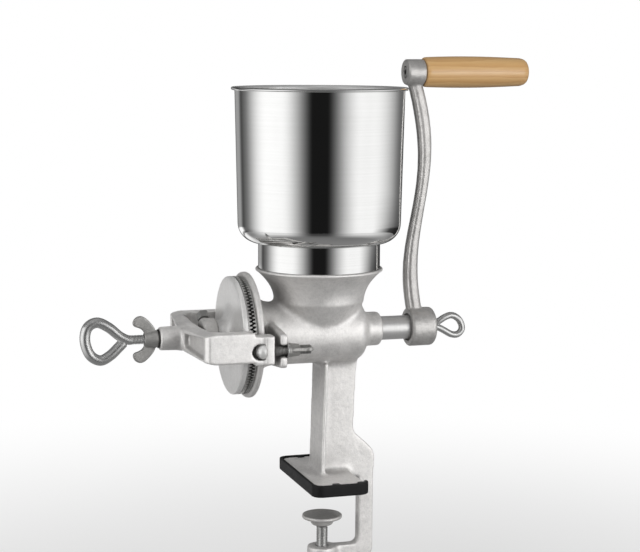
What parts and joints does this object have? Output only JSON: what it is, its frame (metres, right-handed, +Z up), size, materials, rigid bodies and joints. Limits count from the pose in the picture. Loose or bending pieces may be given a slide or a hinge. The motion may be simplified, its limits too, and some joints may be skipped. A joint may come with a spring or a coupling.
{
  "type": "hand grain mill",
  "caption": "Table-clamped hand grain mill with a tall steel hopper, cast body, screw-fed burr plates set by a yoke and screw, and a curved crank with a wooden grip.",
  "frame": {"origin": "on the table top, at the underside of the rubber foot, straight below the hopper's centre line", "axes": "+X along the grinding shaft toward the crank, +Z up, -Y toward the picture's camera"},
  "size_m": [0.3938, 0.157, 0.5204],
  "materials": {
    "cast_grey": "tinned sand casting, satin",
    "black_rubber": "matte",
    "stainless": "mirror-polished stainless sheet",
    "burr_iron": "ground casting",
    "dark_steel": "blackened",
    "turned_steel": "tinned and turned",
    "bright_steel": "zinc plated",
    "nut_grey": "matte casting",
    "grip_wood": "varnished"
  },
  "bodies": {
    "frame": {"mill_body": "cast_grey", "rubber_foot": "black_rubber", "fixed_burr": "burr_iron", "fixed_burr_screws": "dark_steel", "yoke": "cast_grey", "yoke_bolts": "bright_steel"},
    "hopper": {"hopper_cup": "stainless", "hopper_collar": "stainless"},
    "thrust": {"thrust_ball": "bright_steel"},
    "adjuster": {"adjusting_screw": "bright_steel"},
    "rotor": {"auger": "turned_steel", "moving_burr": "burr_iron", "moving_burr_screws": "dark_steel", "burr_carrier": "cast_grey", "drive_collar": "cast_grey", "set_screw": "dark_steel"},
    "crank": {"crank_arm": "cast_grey", "grip_bolt": "bright_steel", "grip_washer": "bright_steel", "grip_nut": "bright_steel"},
    "crank_thumbscrew": {"crank_screw": "bright_steel"},
    "handle": {"grip": "grip_wood"},
    "lock_ring": {"lock_washer": "dark_steel"},
    "lock_wing": {"lock_nut": "nut_grey"},
    "front_ring": {"front_washer": "bright_steel"},
    "front_wing": {"front_wing_nut": "nut_grey"},
    "rear_ring": {"rear_washer": "bright_steel"},
    "rear_wing": {"rear_wing_nut": "nut_grey"},
    "pad": {"clamp_pad": "cast_grey"},
    "clamp_spindle": {"clamp_screw": "bright_steel"}
  },
  "joints": [
    {"name": "hopper_lift", "type": "slide", "parent": "frame", "child": "hopper", "axis": [0, 0, 1], "range_m": [0, 0.08]},
    {"name": "burr_gap_slide", "type": "slide", "parent": "frame", "child": "thrust", "axis": [-1, 0, 0], "range_m": [0, 0.003]},
    {"name": "adjusting_screw_turn", "type": "hinge", "parent": "thrust", "child": "adjuster", "pos_m": [0, 0, 0.132], "axis": [-1, 0, 0], "range_deg": [0, 866]},
    {"name": "crank_turn", "type": "hinge", "parent": "thrust", "child": "rotor", "pos_m": [0, 0, 0.132], "axis": [-1, 0, 0], "continuous": true},
    {"name": "crank_draw_slide", "type": "slide", "parent": "rotor", "child": "crank", "axis": [1, 0, 0], "range_m": [0, 0.011]},
    {"name": "crank_screw_turn", "type": "hinge", "parent": "crank", "child": "crank_thumbscrew", "pos_m": [0, 0, 0.132], "axis": [1, 0, 0], "range_deg": [0, 3962]},
    {"name": "grip_spin", "type": "hinge", "parent": "crank", "child": "handle", "pos_m": [0.14, 0, 0.353], "axis": [1, 0, 0], "continuous": true},
    {"name": "lock_washer_slide", "type": "slide", "parent": "frame", "child": "lock_ring", "axis": [-1, 0, 0], "range_m": [0, 0.003]},
    {"name": "lock_nut_turn", "type": "hinge", "parent": "lock_ring", "child": "lock_wing", "pos_m": [0, 0, 0.132], "axis": [-1, 0, 0], "range_deg": [0, 866]},
    {"name": "front_washer_slide", "type": "slide", "parent": "frame", "child": "front_ring", "axis": [1, 0, 0], "range_m": [0, 0.006]},
    {"name": "front_nut_turn", "type": "hinge", "parent": "front_ring", "child": "front_wing", "pos_m": [0, -0.0626, 0.1285], "axis": [1, 0, 0], "range_deg": [0, 1730]},
    {"name": "rear_washer_slide", "type": "slide", "parent": "frame", "child": "rear_ring", "axis": [1, 0, 0], "range_m": [0, 0.006]},
    {"name": "rear_nut_turn", "type": "hinge", "parent": "rear_ring", "child": "rear_wing", "pos_m": [0, 0.0626, 0.1285], "axis": [1, 0, 0], "range_deg": [0, 1730]},
    {"name": "clamp_pad_slide", "type": "slide", "parent": "frame", "child": "pad", "axis": [0, 0, 1], "range_m": [-0.016, 0.022]},
    {"name": "clamp_screw_turn", "type": "hinge", "parent": "pad", "child": "clamp_spindle", "pos_m": [0.004, 0, -0.05], "axis": [0, 0, 1], "range_deg": [-3842, 5282]}
  ],
  "couplings": [
    {"joint": "adjusting_screw_turn", "follows": "burr_gap_slide", "rad_per_m": 5026.5},
    {"joint": "crank_screw_turn", "follows": "crank_draw_slide", "rad_per_m": 6283.2},
    {"joint": "lock_nut_turn", "follows": "lock_washer_slide", "rad_per_m": 5026.5},
    {"joint": "front_nut_turn", "follows": "front_washer_slide", "rad_per_m": 5026.5},
    {"joint": "rear_nut_turn", "follows": "rear_washer_slide", "rad_per_m": 5026.5},
    {"joint": "clamp_screw_turn", "follows": "clamp_pad_slide", "rad_per_m": 4188.8}
  ]
}
